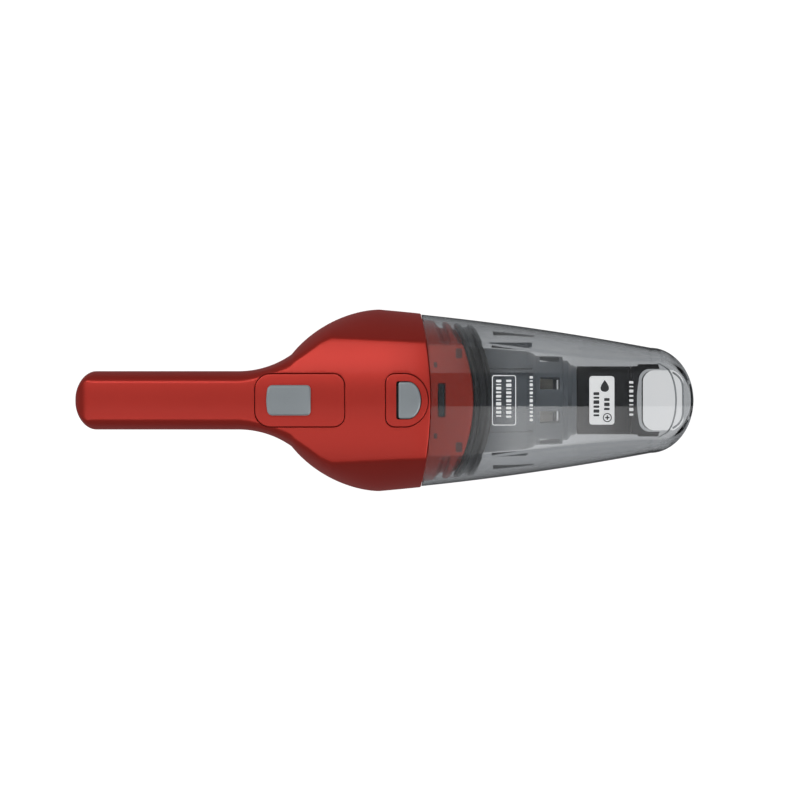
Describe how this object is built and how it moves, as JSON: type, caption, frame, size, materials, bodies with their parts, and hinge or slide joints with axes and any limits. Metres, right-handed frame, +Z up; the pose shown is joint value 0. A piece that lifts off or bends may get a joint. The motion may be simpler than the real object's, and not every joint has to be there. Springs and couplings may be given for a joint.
{
  "type": "handheld vacuum",
  "caption": "Cordless handheld wet and dry vacuum: red housing with a straight grip, slide switch and release button, smoked bowl tapering to a slanted nozzle.",
  "frame": {"origin": "under the middle of the object's box, on the surface that the belly rests on", "axes": "+X to the nozzle, +Y to the user's left, +Z up, away from the belly"},
  "size_m": [0.3799, 0.112, 0.1142],
  "materials": {
    "housing_red": "moulded ABS, fine satin gloss",
    "trim_grey": "moulded plastic, silver grey satin",
    "duct_black": "moulded plastic, black, glossy",
    "bowl_smoke": "clear smoked polycarbonate, polished",
    "cup_grey": "translucent grey plastic",
    "filter_grey": "moulded plastic, dark grey",
    "filter_paper": "pleated washable filter fabric",
    "rubber_black": "soft moulded rubber",
    "inner_black": "moulded plastic, black",
    "steel": "zinc plated steel",
    "brass": "turned brass",
    "winding": "varnished copper winding on a laminated core",
    "cell_blue": "shrink sleeve over a steel can, density stands in for a cell",
    "board_green": "printed circuit board",
    "switch_white": "moulded switch lever",
    "lead_red": "silicone insulated wire",
    "lead_black": "silicone insulated wire"
  },
  "bodies": {
    "housing": {"upper_housing": "housing_red", "lower_housing": "housing_red", "housing_screw_1": "steel", "housing_screw_2": "steel", "housing_screw_3": "steel", "housing_screw_4": "steel", "housing_screw_5": "steel", "charge_socket": "inner_black", "filter_bulkhead": "housing_red", "motor_can": "steel", "motor_end_cap": "inner_black", "bearing_rear": "brass", "bearing_front": "brass", "motor_carrier": "inner_black", "motor_screw_1": "steel", "motor_screw_2": "steel", "fan_shroud": "inner_black", "motor_mount": "rubber_black", "cell_rear": "cell_blue", "cell_front": "cell_blue", "cell_link": "steel", "battery_cradle": "inner_black", "switch_panel": "housing_red", "release_panel": "housing_red", "latch_spring": "steel", "latch_bracket": "inner_black", "control_board": "board_green", "slide_switch": "inner_black", "lead_battery": "lead_red", "lead_motor_plus": "lead_red", "lead_motor_minus": "lead_black"},
    "power_switch": {"power_slider": "trim_grey", "switch_toggle": "switch_white"},
    "release": {"release_button": "trim_grey", "release_latch": "inner_black"},
    "rotor": {"rotor_shaft": "steel", "armature": "winding", "impeller": "inner_black", "impeller_nut": "brass"},
    "bowl": {"bowl": "bowl_smoke", "inlet_duct": "duct_black", "flap_pin": "steel"},
    "flap": {"duct_flap": "rubber_black"},
    "filter": {"seal_ring": "rubber_black", "filter_frame": "filter_grey", "filter_pleats": "filter_paper", "filter_end_cap": "filter_grey"},
    "prefilter": {"prefilter_cup": "cup_grey"}
  },
  "joints": [
    {"name": "power_slide", "type": "slide", "parent": "housing", "child": "power_switch", "axis": [1, 0, 0], "range_m": [0, 0.008]},
    {"name": "release_press", "type": "slide", "parent": "housing", "child": "release", "axis": [0, 0, -1], "range_m": [0, 0.0025], "stiffness_N_per_m": 600, "springref_m": -0.001, "deforming": ["latch_spring"]},
    {"name": "rotor_spin", "type": "hinge", "parent": "housing", "child": "rotor", "pos_m": [0, 0, 0.052], "axis": [1, 0, 0], "continuous": true},
    {"name": "bowl_pull", "type": "slide", "parent": "housing", "child": "bowl", "axis": [1, 0, 0], "range_m": [0, 0.15]},
    {"name": "filter_pull", "type": "slide", "parent": "housing", "child": "filter", "axis": [1, 0, 0], "range_m": [0, 0.06]},
    {"name": "cup_pull", "type": "slide", "parent": "filter", "child": "prefilter", "axis": [1, 0, 0], "range_m": [0, 0.0225]},
    {"name": "flap_swing", "type": "hinge", "parent": "bowl", "child": "flap", "pos_m": [0.1152, 0, 0.0286], "axis": [0, 1, 0], "range_deg": [0, 42]}
  ],
  "couplings": [
    {"joint": "filter_pull", "follows": "bowl_pull", "ratio": 0.4},
    {"joint": "cup_pull", "follows": "bowl_pull", "ratio": 0.15}
  ]
}
